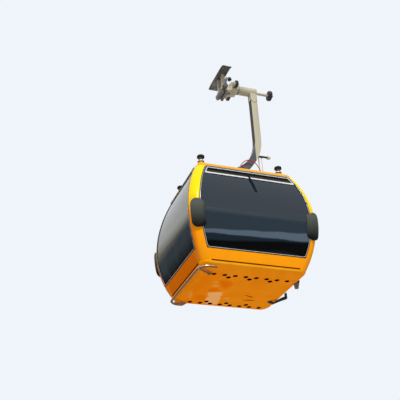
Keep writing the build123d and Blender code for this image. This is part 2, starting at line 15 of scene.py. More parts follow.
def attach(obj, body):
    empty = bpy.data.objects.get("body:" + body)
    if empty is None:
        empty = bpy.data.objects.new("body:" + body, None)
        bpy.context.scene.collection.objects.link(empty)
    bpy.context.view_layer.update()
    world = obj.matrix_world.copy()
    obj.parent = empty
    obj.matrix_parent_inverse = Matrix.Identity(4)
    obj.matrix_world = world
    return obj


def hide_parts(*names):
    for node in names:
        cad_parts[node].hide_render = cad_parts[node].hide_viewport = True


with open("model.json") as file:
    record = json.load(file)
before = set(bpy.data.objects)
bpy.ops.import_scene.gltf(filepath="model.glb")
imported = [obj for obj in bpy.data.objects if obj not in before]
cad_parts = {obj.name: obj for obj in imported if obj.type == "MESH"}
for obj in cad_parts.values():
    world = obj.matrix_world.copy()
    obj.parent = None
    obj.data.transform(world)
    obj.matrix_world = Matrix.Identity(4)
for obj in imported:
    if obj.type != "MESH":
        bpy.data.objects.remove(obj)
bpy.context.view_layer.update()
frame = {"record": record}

# %% [markdown]
# ## The camera
# The photograph was taken from the ground, looking up at the cabin from its leading end, so the
# underside shows. Three directions say how the camera is turned: its right, its up, and the way
# back from the scene. A camera could be turned by eye, but measured directions put each corner of
# the cabin where the photograph has it. The lens is a short telephoto on a 36 mm frame. Its length
# was worked out in pixels of the square photograph, so it is turned into millimetres here.

# %% Camera from below
EYE = Vector((10.504, -4.603, -8.5235))
TO_RIGHT = Vector((0.3349, 0.9409, -0.0497))
TO_TOP = Vector((0.4767, -0.1236, 0.8703))
TO_BACK = Vector((0.8128, -0.3152, -0.4899))
LENS_PIXELS, PHOTO_PIXELS = 801.85, 400

camera_data = bpy.data.cameras.new("camera")
camera_data.sensor_width = 36.0
camera_data.lens = LENS_PIXELS / PHOTO_PIXELS * camera_data.sensor_width
camera_data.clip_end = 200
camera = bpy.data.objects.new("camera", camera_data)
bpy.context.scene.collection.objects.link(camera)
turn = Matrix((TO_RIGHT, TO_TOP, TO_BACK)).transposed().to_4x4()
camera.matrix_world = Matrix.Translation(EYE) @ turn
bpy.context.scene.camera = camera
print("lens", round(camera_data.lens, 1), "mm")

# %% [markdown]
# ## The cabin's skin
# The cabin is two barrel outlines crossed, one seen from the end and one from the side, with a
# rounded corner where they meet. Trim such as a window bead has to lie on that skin. A Shrinkwrap
# modifier could pull it there, but it follows the facets of the mesh. So we write the skin down as
# a formula, which is smooth and exact. Heights count from the window sill.

# %% Where the skin lies
SILL = -3.45
# half size, radius of the bowed sides, height where it is widest
LENGTH = (0.947, 1.9, 0.600)
WIDTH = (1.030, 1.8, 0.620)
CORNER_RADIUS = 0.14
CREASE = -0.168
END_SILL, SIDE_SILL = -0.020, 0.006
WINDOW_TOP = 1.44
ROOF = 1.53
PAN_BOTTOM = -0.288


def reach(form, height, inset=0.0):
    """Half size of a barrel outline at a height above the sill."""
    half, radius, widest = form
    return half - inset - radius + sqrt(radius**2 - (height - widest) ** 2)


def skin(form, other, across, height):
    """How far out the skin is at a place on a face, with its rounded corner."""
    past = max(0, abs(across) - reach(other, height) + CORNER_RADIUS)
    return reach(form, height) - CORNER_RADIUS + sqrt(CORNER_RADIUS**2 - past**2)


def on_end(sign, y, height, proud=0.0):
    """A point on an end face."""
    return Vector((sign * (skin(LENGTH, WIDTH, y, height) + proud), y, SILL + height))


def on_side(sign, x, height, proud=0.0):
    """A point on a side face."""
    return Vector((x, sign * (skin(WIDTH, LENGTH, x, height) + proud), SILL + height))


print("half width at the belly:", round(reach(WIDTH, WIDTH[2]), 3))
print("half width at the roof:", round(reach(WIDTH, ROOF), 3))

# %% [markdown]
# ## Helpers for new pieces
# A new mesh or curve always needs the same three things: a place in the scene, a body to ride on and
# a material. One helper does all three, and prints the piece's name.
# Most trim is either a line along some route or a turned shape, so there is one helper for each.

# %% Putting a piece in the scene
def finish_piece(piece, body, material):
    """Put a new piece in the scene and say what it rides on."""
    if piece.name not in bpy.context.scene.collection.objects:
        bpy.context.scene.collection.objects.link(piece)
    piece.data.materials.clear()
    piece.data.materials.append(material)
    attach(piece, body)
    print(piece.name, "rides on", body)
    return piece


# %% Lines
def line_curve(name, routes, radius, kind="POLY", closed=False):
    """Round lines along one or more routes, straight from point to point or smooth."""
    data = bpy.data.curves.new(name, "CURVE")
    data.dimensions = "3D"
    data.bevel_depth = radius
    data.bevel_resolution = 3
    data.use_fill_caps = True
    for route in routes:
        spline = data.splines.new(kind)
        spline.points.add(len(route) - 1)
        for knot, place in zip(spline.points, route):
            knot.co = (*place, 1)
        spline.use_cyclic_u = closed
        spline.order_u = 3
        spline.use_endpoint_u = True
        spline.resolution_u = 12
    return bpy.data.objects.new(name, data)


# %% Meshes and turned shapes
def mesh_piece(name, build, body, material):
    """A mesh that a build function fills in."""
    shape = bmesh.new()
    build(shape)
    bmesh.ops.recalc_face_normals(shape, faces=shape.faces)
    data = bpy.data.meshes.new(name)
    shape.to_mesh(data)
    shape.free()
    data.shade_smooth()
    data.set_sharp_from_angle(angle=radians(35))
    return finish_piece(bpy.data.objects.new(name, data), body, material)


def lathe(shape, profile, place, axis=(0, 0, 1), steps=24):
    """Turn a profile of (radius, height) rows about an axis through a place."""
    turn = Vector(axis).to_track_quat("Z", "Y")
    rings = []
    for radius, height in profile:
        angles = [2 * pi * i / steps for i in range(steps if radius else 1)]
        spots = [Vector((radius * cos(a), radius * sin(a), height)) for a in angles]
        rings.append([shape.verts.new(Vector(place) + turn @ spot) for spot in spots])
    for low, high in zip(rings, rings[1:]):
        for i in range(steps):
            j = (i + 1) % steps
            corners = [low[i % len(low)], low[j % len(low)]]
            corners += [high[j % len(high)], high[i % len(high)]]
            if len(low) + len(high) > 2:
                shape.faces.new(list(dict.fromkeys(corners)))


# %% Bolts
# radius and height, as shares of the head's size across its corners
WASHER = ((0, 0), (0.62, 0), (0.62, 0.1), (0, 0.1))
HEAD = ((0.5, 0), (0.5, 0.36), (0.42, 0.42), (0, 0.42))


def bolt(shape, place, axis, size):
    """A hexagon head on a washer."""
    lathe(shape, [(radius * size, height * size) for radius, height in WASHER], place, axis, 20)
    head = Vector(place) + WASHER[-1][1] * size * Vector(axis)
    lathe(shape, [(radius * size, height * size) for radius, height in HEAD], head, axis, 6)


def bolts(name, rows, body, material):
    """Many bolts in one mesh, from rows of (place, axis, size)."""
    return mesh_piece(name, lambda shape: [bolt(shape, *row) for row in rows], body, material)


# %% [markdown]
# ## Shader maths
# A finish is a small sum: so much base colour, so much dust, a little noise in the gloss. Node
# trees hide such sums in wires, so a small class lets us write them as plain Python. `a * 2 + b`
# makes two Math nodes, and `1 - mask` works too. Every other node comes from one method, which
# sets the node's own settings first and then its sockets.

# %% Outputs that do arithmetic
class Wire:
    """A node's output that arithmetic can be written with."""

    def __init__(self, tree, socket):
        self.tree = tree
        self.socket = socket

    def math(self, operation, a, b=0.0):
        return self.tree.node("ShaderNodeMath", {"operation": operation}, {0: a, 1: b})

    def __add__(self, other):
        return self.math("ADD", self, other)

    def __sub__(self, other):
        return self.math("SUBTRACT", self, other)

    def __mul__(self, other):
        return self.math("MULTIPLY", self, other)

    def __rsub__(self, other):
        return self.math("SUBTRACT", other, self)

    __radd__ = __add__
    __rmul__ = __mul__

    def highest(self, other):
        return self.math("MAXIMUM", self, other)

    def clamp(self, low, high):
        """0 at low, 1 at high, and straight between them."""
        values = {"Value": self, "From Min": low, "From Max": high}
        return self.tree.node("ShaderNodeMapRange", {"clamp": True}, values)


# %% Trees and materials
class Tree:
    """A node tree that is written as expressions."""

    def __init__(self, tree):
        self.nodes = tree.nodes
        self.links = tree.links

    def node(self, kind, settings, values, output=0):
        """A new node: first its settings, then the values or links of its sockets."""
        new = self.nodes.new(kind)
        for key, value in settings.items():
            setattr(new, key, value)
        for key, value in values.items():
            self.feed(new.inputs[key], value)
        return Wire(self, new.outputs[output])

    def feed(self, socket, value):
        """Link a wire to a socket, or set the socket's own value."""
        if isinstance(value, Wire):
            self.links.new(value.socket, socket)
        elif hasattr(value, "__len__") and len(value) == 3 and socket.type == "RGBA":
            socket.default_value = (*value, 1)
        else:
            socket.default_value = value

    def mix(self, share, a, b):
        """Colour a, turning into colour b as share goes from 0 to 1."""
        return self.node("ShaderNodeMix", {"data_type": "RGBA"}, {0: share, 6: a, 7: b}, 2)


class Finish(Tree):
    """A material whose nodes are written as expressions."""

    def __init__(self, name, **plain):
        self.material = bpy.data.materials.new(name)
        self.material.use_nodes = True
        super().__init__(self.material.node_tree)
        self.nodes.clear()
        self.shader = self.nodes.new("ShaderNodeBsdfPrincipled")
        out = self.nodes.new("ShaderNodeOutputMaterial")
        self.links.new(self.shader.outputs[0], out.inputs[0])
        self.place = self.node("ShaderNodeTexCoord", {}, {}, "Object")
        self.set(plain)

    def set(self, values):
        for key, value in values.items():
            self.feed(self.shader.inputs[key.replace("_", " ")], value)

    def colour_so_far(self):
        return Wire(self, self.shader.inputs["Base Color"].links[0].from_socket)

    def noise(self, scale, detail=3.0, stretch=(1, 1, 1)):
        """Cloudy noise, 0 to 1, that may be stretched along an axis."""
        spread = self.node("ShaderNodeMapping", {}, {"Vector": self.place, "Scale": stretch})
        return self.node("ShaderNodeTexNoise", {}, {"Vector": spread, "Scale": scale, "Detail": detail})

    def bump(self, height, distance):
        values = {"Height": height, "Distance": distance, "Strength": 1.0}
        self.set({"Normal": self.node("ShaderNodeBump", {}, values)})

    def axis(self, name):
        """One coordinate of the place, X, Y or Z."""
        return self.node("ShaderNodeSeparateXYZ", {}, {0: self.place}, name)

    def facing(self, name):
        """How far the surface faces along X, Y or Z, from -1 to 1."""
        normal = self.node("ShaderNodeTexCoord", {}, {}, "Normal")
        return self.node("ShaderNodeSeparateXYZ", {}, {0: normal}, name)


def srgb(red, green, blue):
    """A colour from 0 to 255, as pictures show it, in the linear values of a shader."""
    return tuple((part / 255) ** 2.2 for part in (red, green, blue))


# %% [markdown]
# ## Orange paint
# The shell is moulded and sprayed in a warm orange under a thin clear coat. The tops of the posts
# turn yellow, a painted highlight where the sun falls on them, and the roof is a dull amber. The low
# side panels and the foot of the left side are a deeper orange, which is painted shade. Close up the
# paint has a faint ripple, and low down it gathers dust and water marks. The dust is a mask that
# grows below the sill, broken up by noise that is stretched downwards, the way water runs. All of it
# could be painted on an image, but noise stays sharp from close by and needs no unwrapping. One
# function mixes it, with other colours for each kind of panel.

# %% Body paint
ORANGE, ORANGE_CLOUD = srgb(255, 160, 0), srgb(252, 152, 0)
# painted shade: a deeper orange for the shaded underside of the pan
PAN_SHADE_ORANGE, PAN_SHADE_CLOUD = srgb(255, 150, 30), srgb(248, 138, 24)
ROOF_ORANGE, ROOF_CLOUD = srgb(228, 162, 44), srgb(216, 146, 30)
# painted shade: a deeper orange for the shaded left side and the low side panels
SHADED, SHADED_CLOUD = srgb(227, 114, 20), srgb(215, 102, 18)
# painted highlight: yellow for the sunlit tops of the corner posts
SUNLIT_HIGHLIGHT = srgb(255, 214, 8)
DUST = srgb(214, 128, 30)


def body_paint(name, main, second, upper, coat, gloss=0.07):
    paint = Finish(name, Coat_Roughness=0.12, IOR=1.45, Specular_IOR_Level=gloss)
    cloud = paint.noise(1.4)
    streaks = paint.noise(8.0, 4.0, (1, 1, 0.1))
    height = paint.axis("Z")
    low = 1 - height.clamp(SILL - 0.30, SILL + 0.05)
    dirt = low * streaks.clamp(0.48, 0.8) * 0.3
    colour = paint.mix(cloud.clamp(0.3, 0.7), main, second)
    # painted highlight: high up the colour turns to the upper one, yellow on the posts
    colour = paint.mix(height.clamp(SILL + 0.5, SILL + 0.85), colour, upper)
    # painted shade: surfaces low down that face left turn to the shaded orange
    left = 1 - paint.facing("Y").clamp(-1.0, -0.7)
    foot = 1 - height.clamp(SILL + 0.1, SILL + 0.7)
    colour = paint.mix(left * foot, colour, SHADED)
    paint.set({
        "Base Color": paint.mix(dirt, colour, DUST),
        "Roughness": 0.36 + 0.18 * dirt + 0.06 * cloud,
    })
    if coat:
        paint.set({"Coat Weight": coat * (1 - dirt)})
    paint.bump(paint.noise(240.0, 2.0), 0.0002)
    return paint


orange_paint = body_paint("orange_paint", ORANGE, ORANGE_CLOUD, SUNLIT_HIGHLIGHT, 0.1)
# painted shade: the side panels are painted in the shaded orange
side_shade_paint = body_paint("side_shade_paint", SHADED, SHADED_CLOUD, SHADED, 0.0, 0.0)
roof_paint = body_paint("roof_paint", ROOF_ORANGE, ROOF_CLOUD, ROOF_ORANGE, 0.05)
print("body paint ready")

# %% [markdown]
# ## The underside
# The floor pan has the same paint without its clear coat, in a deeper orange that is painted shade of
# the underside. Just under the groove it turns back to the body's brighter orange, painted sunlight,
# and along both ends a bright ridge under the groove is a painted highlight. Towards the left the
# paint is darker, which is painted shade too. Years of knocks have marked it: a pale worn patch in two
# parts, redder stains and faint scuffs round it, two thin dark scratches, and primer showing where
# two corners were knocked. A small glint among them is a painted highlight. Each mark is a soft
# ellipse or a boxy patch at its own place, with an edge made ragged by noise. One row of a table sets
# it, in the model's own metres, so a mark is moved by changing a number.

# %% Where the marks are
# x, y, half length, half width, turn in degrees
SCUFFS = ((-0.17, -0.30, 0.08, 0.115, -13), (-0.40, -0.26, 0.165, 0.115, -11))
STAINS = (
    (0.24, -0.29, 0.15, 0.09, -24),
    (-0.03, -0.38, 0.07, 0.08, -20),
    (-0.34, -0.48, 0.10, 0.08, -20),
)
FAINT_SCUFFS = (
    (0.14, -0.40, 0.06, 0.04, 80),
    (-0.28, -0.67, 0.12, 0.03, -13),
    (-0.29, -0.07, 0.03, 0.045, 0),
    (-0.50, 0.02, 0.05, 0.05, 0),
)
# painted highlight: a small glint of light on the pan
GLINTS = ((0.267, -0.458, 0.045, 0.011, 85),)
SCRATCHES = ((-0.284, 0.300, 0.110, 0.014, 85), (-0.132, 0.250, 0.090, 0.011, 108))
PRIMER = ((0.564, 0.687, 0.038, 0.009, 94), (-0.62, 0.697, 0.03, 0.01, 103))
print(len(SCUFFS + STAINS + FAINT_SCUFFS + GLINTS + SCRATCHES + PRIMER), "marks")


# %% One mask for many marks
def mark(paint, table, ragged, edge, boxy=False):
    """One mask for all marks of a table: ellipses, or boxy patches with rounded corners."""
    total = None
    noise = (paint.noise(13.0, 6.0) - 0.5) * ragged
    for x, y, half_long, half_wide, degrees in table:
        turned = radians(degrees)
        off_x, off_y = paint.axis("X") - x, paint.axis("Y") - y
        along = (off_x * cos(turned) + off_y * sin(turned)) * (1 / half_long)
        across = (off_y * cos(turned) - off_x * sin(turned)) * (1 / half_wide)
        along, across = along * along, across * across
        if boxy:
            along, across = along * along, across * across
        inside = 1 - (along + across + noise).clamp(1 - edge, 1 + edge)
        total = inside if total is None else total.highest(inside)
    return total


# %% Scuffed pan paint
RIDGE = SILL - 0.208
# painted highlight on the ridge, and painted shade towards the left; the mottle is the paint's own tone
RIDGE_HIGHLIGHT, MOTTLE, LEFT_SHADE = srgb(255, 194, 52), srgb(236, 124, 0), srgb(240, 114, 0)
WORN, BARE_PRIMER = srgb(255, 186, 116), srgb(158, 58, 34)

pan = body_paint("pan_paint", PAN_SHADE_ORANGE, PAN_SHADE_CLOUD, PAN_SHADE_ORANGE, 0.0, 0.0)
height = pan.axis("Z")
bottom = 1 - height.clamp(SILL + PAN_BOTTOM + 0.004, SILL + PAN_BOTTOM + 0.03)
# painted sunlight: the band just below the groove turns back to the body's brighter orange
base = pan.mix(height.clamp(SILL - 0.225, SILL - 0.205), pan.colour_so_far(), ORANGE)
# painted highlight: a bright line along the ridge under the groove, on the ends only
ridge = height.clamp(RIDGE - 0.014, RIDGE) - height.clamp(RIDGE + 0.004, RIDGE + 0.014)
on_ends = (pan.facing("X") * pan.facing("X")).clamp(0.3, 0.5)
base = pan.mix(ridge * on_ends, base, RIDGE_HIGHLIGHT)
base = pan.mix(pan.noise(3.0, 2.0).clamp(0.45, 0.75) * 0.35, base, MOTTLE)
# painted shade: the pan turns darker towards the left
base = pan.mix((1 - pan.axis("Y").clamp(-0.62, -0.30)) * bottom * 0.5, base, LEFT_SHADE)
# table, raggedness, softness, strength, colour
for table, ragged, edge, strength, colour in (
    (STAINS, 3.0, 0.9, 0.7, (240, 106, 0)),
    (FAINT_SCUFFS, 2.2, 0.8, 0.4, (255, 180, 90)),
    # painted highlight
    (GLINTS, 1.4, 0.6, 0.9, (255, 190, 80)),
    (SCRATCHES, 1.2, 0.4, 1.0, (120, 36, 0)),
):
    base = pan.mix(mark(pan, table, ragged, edge) * bottom * strength, base, srgb(*colour))
base = pan.mix(mark(pan, SCUFFS, 1.6, 0.12, boxy=True) * bottom * 0.85, base, WORN)
base = pan.mix(mark(pan, PRIMER, 1.0, 0.4) * 0.9, base, BARE_PRIMER)
pan.set({"Base Color": base})
print("pan paint ready:", len(pan.nodes), "nodes")

# %% [markdown]
# ## Tinted glazing
# The panes are thick acrylic, tinted nearly black, and their lowest part shows only that dark tint.
# Higher up some light passes, and soft lighter bands over the tint are painted reflections. A
# transmissive glass would send light through every pane, which is slow. At this tint a dark gloss
# with an alpha below one looks as deep, and it exports to any viewer. The bands are a short table of
# heights and colours: the colour changes at each height, over some millimetres or over a hand's
# width, and some of the changes slope across the pane. The side panes are dustier, with streaks,
# and their pale upper band is a painted reflection of the sky.

# %% Glass
# height above the sill, width of the change, slope across the pane, colour above it
# painted reflections: lighter bands of the surroundings over the dark tint
END_REFLECTION_BANDS = (
    (0.190, 0.03, 0.082, (30, 40, 48)),
    (0.222, 0.02, 0.022, (82, 95, 107)),
    (0.335, 0.02, 0.066, (46, 56, 64)),
    (0.590, 0.012, 0.0, (38, 46, 55)),
)
# painted reflection: the pale upper band of the side panes is the sky
SIDE_REFLECTION_BANDS = ((0.15, 0.20, 0.0, (56, 66, 72)), (0.45, 0.16, 0.0, (120, 116, 102)))
DARK_TINT, STREAK = (10, 12, 13), (96, 100, 100)
# a sloping change is at its own height at this place across the pane
LEVEL_AT_Y = 0.5


def glazing(name, bands, ior, streaked):
    glass = Finish(name, IOR=ior, Coat_Weight=0.0)
    height = glass.axis("Z")
    ripple = (glass.noise(2.2, 3.0, (1, 1, 0.6)) - 0.5) * 0.05
    colour = srgb(*DARK_TINT)
    # each band paints a reflection over the tint
    for level, change, slope, above in bands:
        edge = height + ripple - slope * (glass.axis("Y") - LEVEL_AT_Y)
        rise = edge.clamp(SILL + level - change / 2, SILL + level + change / 2)
        colour = glass.mix(rise, colour, srgb(*above))
    haze = glass.noise(2.0, 4.0, (1, 1, 2.0))
    streaks = glass.noise(7.0, 5.0, (1, 1, 0.2)).clamp(0.55, 0.85) * streaked
    clear = height.clamp(SILL + 0.45, SILL + 0.75)
    glass.set({
        "Base Color": glass.mix(streaks, colour, srgb(*STREAK)),
        "Alpha": 0.97 - 0.12 * clear,
        "Roughness": 0.05 + 0.10 * haze.clamp(0.5, 0.8),
    })
    return glass.material


made = {
    "end_glazing": glazing("end_glazing", END_REFLECTION_BANDS, 1.5, 0.0),
    "side_glazing": glazing("side_glazing", SIDE_REFLECTION_BANDS, 1.7, 0.5),
}
print(len(made), "kinds of glass")

# %% [markdown]
# ## Rubber, metal and plastic
# The small finishes differ mostly in gloss and in the direction of their marks. Rubber is dull and
# pebbled. Galvanised steel has soft vertical streaks from rain. Tube is bright, and a drawn pin has
# fine lines along it. One function with a table makes them all.

# %% A table of plain finishes
# name: (colour, second colour, metallic, roughness, noise scale, stretch, bump depth)
FINISHES = {
    "black_rubber": ((10, 10, 11), (20, 20, 21), 0.0, 0.75, 40, (1, 1, 1), 0.0006),
    "bright_metal": ((236, 236, 232), (206, 206, 204), 0.3, 0.3, 60, (1, 1, 1), 0.0001),
    "polished_tube": ((222, 218, 210), (196, 190, 180), 0.9, 0.24, 60, (1, 1, 1), 0.0001),
    "vent_blind": ((76, 68, 62), (62, 56, 50), 0.0, 0.5, 40, (1, 1, 1), 0.0002),
    "grey_plastic": ((118, 120, 124), (104, 106, 110), 0.0, 0.5, 30, (1, 1, 1), 0.0002),
    "seat_cover": ((36, 40, 48), (50, 54, 62), 0.0, 0.75, 160, (1, 1, 1), 0.0006),
    "deck_metal": ((110, 110, 108), (90, 90, 88), 0.4, 0.5, 90, (1, 1, 1), 0.0008),
    "galvanised_steel": ((192, 184, 158), (156, 148, 126), 0.15, 0.52, 16, (1, 1, 0.06), 0.0003),
    "dark_grey_paint": ((84, 85, 88), (66, 67, 70), 0.0, 0.38, 8, (1, 1, 1), 0.0002),
    "forged_steel": ((128, 126, 120), (88, 84, 78), 0.7, 0.45, 22, (1, 1, 1), 0.0006),
    "steel_pin": ((176, 176, 174), (140, 140, 140), 0.9, 0.28, 50, (1, 6, 6), 0.0001),
    "roller_tyre": ((22, 22, 23), (40, 40, 41), 0.0, 0.55, 50, (1, 1, 1), 0.0004),
    "cream_paint": ((222, 214, 186), (190, 180, 150), 0.0, 0.42, 24, (1, 1, 0.3), 0.0002),
    "black_paint": ((22, 22, 23), (40, 40, 41), 0.0, 0.4, 30, (1, 1, 1), 0.0002),
    "grey_paint": ((118, 112, 102), (84, 78, 70), 0.1, 0.45, 30, (1, 1, 1), 0.0002),
    "joint_sealer": ((214, 116, 4), (196, 104, 4), 0.0, 0.7, 60, (1, 1, 1), 0.0002),
    "red_sheath": ((200, 34, 26), (150, 20, 16), 0.0, 0.42, 60, (1, 1, 1), 0.0002),
}
# specular level of the dullest ones
DULL = {"black_rubber": 0.15, "joint_sealer": 0.0}
print(len(FINISHES), "plain finishes in the table")


def plain_finish(name, colour, second, metallic, roughness, scale, stretch, depth):
    finish = Finish(name, Metallic=metallic, Specular_IOR_Level=DULL.get(name, 0.5))
    mottle = finish.noise(scale * 0.25, 4.0, stretch)
    grain = finish.noise(scale, 5.0, stretch)
    finish.set({
        "Base Color": finish.mix(mottle.clamp(0.35, 0.7), srgb(*colour), srgb(*second)),
        "Roughness": roughness + 0.14 * (grain - 0.5),
    })
    finish.bump(grain, depth)
    return finish


def split_finish(name, table_name, second_colour, mask, specular):
    """A finish from the table, turned into a second colour where a mask is one."""
    finish = plain_finish(name, *FINISHES[table_name])
    split = finish.mix(mask(finish), finish.colour_so_far(), srgb(*second_colour))
    finish.set({"Base Color": split, "Specular IOR Level": specular})
    return finish.material


# %% [markdown]
# Some pieces of the CAD are one solid where the real thing shows two finishes, or where one side is
# painted in shade. Faces could be given two materials, but their edges would follow the mesh. A mask
# made from the surface's place or direction tells the colours apart anywhere. The arm's side away
# from the doors is painted dark as shade, and the rail's underside is painted brown as shade. A
# wheel's steel hub lies inside its tyre, and a buffer's neck is dull metal between two rubber discs.
# The bumpers are paler towards their top, and the vent's pane and the door stay are darker at theirs.

# %% Masks by place
WHEEL_X, WHEEL_Z, HUB_RADIUS = 0.2, 0.15, 0.048
# heights above the roof
NECK_LOW, NECK_HIGH = 0.137, 0.205


# painted shade: the arm's face away from the doors, turned from the sun, is dark
def away_from_doors(finish):
    return 1 - finish.facing("Y").clamp(-0.8, -0.5)


# painted shade: the underside of the rail turns brown
def under(finish):
    return 1 - finish.facing("Z").clamp(-0.35, 0.1)


def hub_at(x):
    def mask(finish):
        off_x, off_z = finish.axis("X") - x, finish.axis("Z") - WHEEL_Z
        squared = off_x * off_x + off_z * off_z
        return 1 - squared.clamp((HUB_RADIUS - 0.001) ** 2, (HUB_RADIUS + 0.001) ** 2)
    return mask


def buffer_neck(finish):
    height = finish.axis("Z")
    low, high = SILL + ROOF + NECK_LOW, SILL + ROOF + NECK_HIGH
    return height.clamp(low, low + 0.001) - height.clamp(high, high + 0.001)


def above(low, high):
    def mask(finish):
        return finish.axis("Z").clamp(SILL + low, SILL + high)
    return mask


# %% All the finishes
# name: (finish in the table, second colour, mask, specular level)
SPLIT = {
    "vent_pane": ("vent_blind", (6, 6, 7), above(1.285, 1.36), 0.05),
    "bumper_rubber": ("black_rubber", (78, 82, 74), above(0.30, 0.62), 0.22),
    # painted shade on the rail's underside
    "rail_tube": ("polished_tube", (128, 94, 64), under, 0.5),
    "stay_paint": ("grey_paint", (12, 12, 12), above(-0.235, -0.225), 0.5),
    # painted shade on the arm's face away from the doors
    "arm_steel": ("galvanised_steel", (58, 50, 40), away_from_doors, 0.5),
    "neck_and_discs": ("black_rubber", (66, 63, 56), buffer_neck, 0.5),
    "wheel_front": ("roller_tyre", (150, 150, 146), hub_at(WHEEL_X), 0.5),
    "wheel_rear": ("roller_tyre", (150, 150, 146), hub_at(-WHEEL_X), 0.5),
}
# joint_rubber is a rubber strip whose dark colour also paints the shade in the groove
MATT = {"joint_rubber": (104, 16, 4), "drain_rubber_and_shade": (3, 2, 2), "stay_black": (34, 40, 50)}

for paint in (orange_paint, side_shade_paint, roof_paint, pan):
    made[paint.material.name] = paint.material
for name, row in FINISHES.items():
    made[name] = plain_finish(name, *row).material
for name, colour in MATT.items():
    made[name] = Finish(
        name, Base_Color=srgb(*colour), Roughness=0.95, Specular_IOR_Level=0.0).material
for name, row in SPLIT.items():
    made[name] = split_finish(name, *row)
print(len(made), "finishes")

# %% [markdown]
# ## Giving the CAD pieces their finish
# Each CAD piece already names a slot in the parts list, so most finishes follow from the slot.
# A few pieces of one slot look different, such as the pan among the painted pieces, and they are
# named one by one.

# %% Finishes for the CAD pieces
BY_SLOT = {"body_paint": "orange_paint", "tinted_glass": "end_glazing"}
BY_NODE = {
    "floor_pan": "pan_paint",
    "roof_shell": "roof_paint",
    "buffer_bases": "roof_paint",
    "side_panel_left": "side_shade_paint",
    "side_panel_right": "side_shade_paint",
    "vent_flaps": "vent_pane",
    "side_rail": "rail_tube",
    "door_stay": "stay_paint",
    "bumpers": "bumper_rubber",
    "side_window": "side_glazing",
    "door_glass": "side_glazing",
    "hanger_arm": "arm_steel",
    "buffer_rubbers": "neck_and_discs",
    "running_wheel_front": "wheel_front",
    "running_wheel_rear": "wheel_rear",
}
for part in frame["record"]["subparts"]:
    name, slot = part["node"], part["material_slot"]
    finish = BY_NODE.get(name, BY_SLOT.get(slot, slot))
    data = bpy.data.objects[name].data
    data.materials.clear()
    data.materials.append(made[finish])

# %% [markdown]
# ## Beads and joints
# A bright bead is pressed into the rubber seal of both end windows and of the side window, a
# little nearer to the glass than to the paint. It runs all round, so its route is the window's
# outline, moved inwards and laid on the skin. The bead is as thin as a wire, so a curve with a
# round bevel does for its shape. The corners are softened with a small curve between the two
# straight ways in and out.

# %% A window's outline
def rounded(points, radius, steps=4):
    """Replace each corner of a closed outline by a short curve."""
    soft = []
    for before, corner, after in zip(points[-1:] + points, points, points[1:] + points[:1]):
        into, out = (corner - before), (after - corner)
        if into.angle(out) < radians(20):
            soft.append(corner)
            continue
        start = corner - into.normalized() * min(radius, into.length / 2)
        stop = corner + out.normalized() * min(radius, out.length / 2)
        for i in range(steps + 1):
            t = i / steps
            soft.append(start.lerp(corner, t).lerp(corner.lerp(stop, t), t))
    return soft


def window_route(form, inset, low, high, radius=0.03, steps=14):
    """A window's outline as (across, height) points, going round."""
    heights = [low + (high - low) * i / steps for i in range(steps + 1)]
    edge = [Vector((reach(form, h, inset), h)) for h in heights]
    across = [Vector((edge[-1].x * (1 - 2 * i / steps), high)) for i in range(1, steps)]
    sill = [Vector((-edge[0].x * (1 - 2 * i / steps), low)) for i in range(1, steps)]
    left = [Vector((-point.x, point.y)) for point in reversed(edge)]
    return rounded(edge + across + left + sill, radius)


# %% Window beads
BEAD, BEAD_PROUD, BEAD_INSET = 0.0034, 0.0025, 0.014
# how far each window stays inside the cabin's outline
END_INSET, SIDE_INSET = 0.125, 0.146
BEAD_TOP = WINDOW_TOP - BEAD_INSET
end_route = window_route(WIDTH, END_INSET + BEAD_INSET, END_SILL + BEAD_INSET, BEAD_TOP)
side_route = window_route(LENGTH, SIDE_INSET + BEAD_INSET, SIDE_SILL + BEAD_INSET, BEAD_TOP)
bead_routes = [[on_end(sign, y, h, BEAD_PROUD) for y, h in end_route] for sign in (1, -1)]
bead_routes.append([on_side(-1, x, h, BEAD_PROUD) for x, h in side_route])
beads = line_curve("window_beads", bead_routes, BEAD, closed=True)
finish_piece(beads, "hanger", made["bright_metal"])

# %% [markdown]
# The panels meet at hairline joints filled with a darker orange sealer, down each side of the foot
# of a post. Cutting them would cost many faces for a line under 2 mm wide, so a thin curve lies on
# the skin instead. The groove above the pan's ridge is wider and holds a dark brick-red rubber
# strip, whose dark colour also stands in for the shade in the groove. It is a round line set a
# little into the groove and below the crease, so that only its face shows.

# %% Joints between the panels
FOOT_X, FOOT_Y, DOOR_LOW = 0.60, 0.70, -0.11
GROOVE_X, GROOVE_Y, STRIP_INSET = 0.62, 0.71, 0.007
SEALER_RADIUS = 0.0007


def steps_between(low, high, count=10):
    return [low + (high - low) * i / count for i in range(count + 1)]


joint_routes = []
for sign in (1, -1):
    for other in (1, -1):
        joint_routes.append([on_end(sign, other * FOOT_Y, h) for h in steps_between(CREASE, END_SILL)])
    joint_routes.append([on_side(-1, sign * FOOT_X, h) for h in steps_between(CREASE, SIDE_SILL)])
    joint_routes.append([on_side(1, sign * FOOT_X, h) for h in steps_between(CREASE, DOOR_LOW)])
joints = line_curve("panel_joints", joint_routes, SEALER_RADIUS)
finish_piece(joints, "hanger", made["joint_sealer"])

groove_ys = steps_between(-GROOVE_Y, GROOVE_Y)
groove_xs = steps_between(-GROOVE_X, GROOVE_X)
across_ends = [[on_end(sign, y, CREASE) for y in groove_ys] for sign in (1, -1)]
along_sides = [[on_side(sign, x, CREASE) for x in groove_xs] for sign in (1, -1)]
inward = 1 - STRIP_INSET / reach(LENGTH, CREASE)
# the strips' dark colour also paints the shade in the groove
# name, routes, radius, distance below the crease
for name, routes, radius, drop in (
    ("end_strips", across_ends, 0.0115, 0.010),
    ("side_strips", along_sides, 0.0135, 0.012),
):
    routes = [[Vector((p.x * inward, p.y * inward, p.z - drop)) for p in route] for route in routes]
    finish_piece(line_curve(name, routes, radius), "hanger", made["joint_rubber"])

